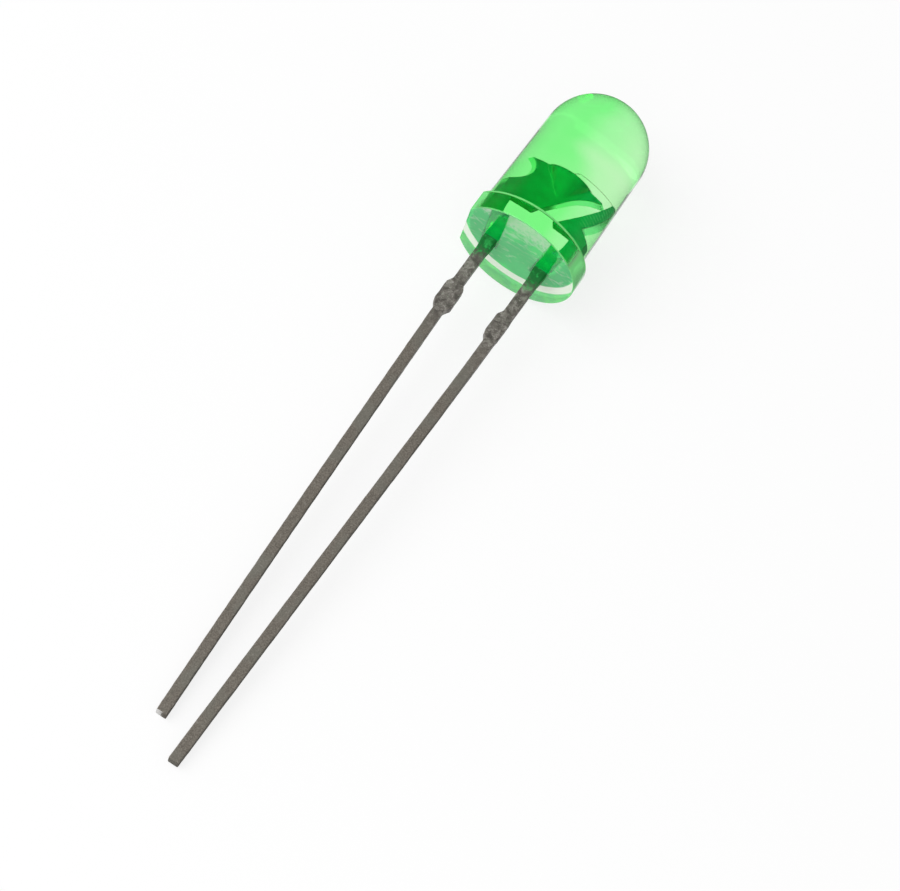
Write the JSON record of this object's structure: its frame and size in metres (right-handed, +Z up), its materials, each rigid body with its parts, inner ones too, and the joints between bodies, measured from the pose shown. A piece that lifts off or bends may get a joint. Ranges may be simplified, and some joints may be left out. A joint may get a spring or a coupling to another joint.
{
  "type": "through-hole light-emitting diode",
  "caption": "Round green-tinted indicator lamp with a flanged, domed epoxy body and two square wire leads, one longer than the other.",
  "frame": {"origin": "centre of the flange's seating face, on the axis of the lamp body", "axes": "the lamp lies on its side as it comes to rest: +Z is up, the dome points along +Y and about 6 degrees up, the leads run towards -Y, and +X is the anode side"},
  "size_m": [0.0056, 0.036, 0.0059],
  "materials": {
    "green_epoxy": "clear green-tinted epoxy, glossy",
    "tinned_steel": "dull grey tin plating, mottled",
    "silver_paste": "matt silver-filled adhesive",
    "die_crystal": "sawn translucent semiconductor",
    "gold_wire": "bright drawn gold"
  },
  "bodies": {
    "root": {"lens_body": "green_epoxy", "cathode_lead": "tinned_steel", "anode_lead": "tinned_steel", "die_paste": "silver_paste", "led_die": "die_crystal", "bond_wire": "gold_wire"}
  },
  "joints": []
}
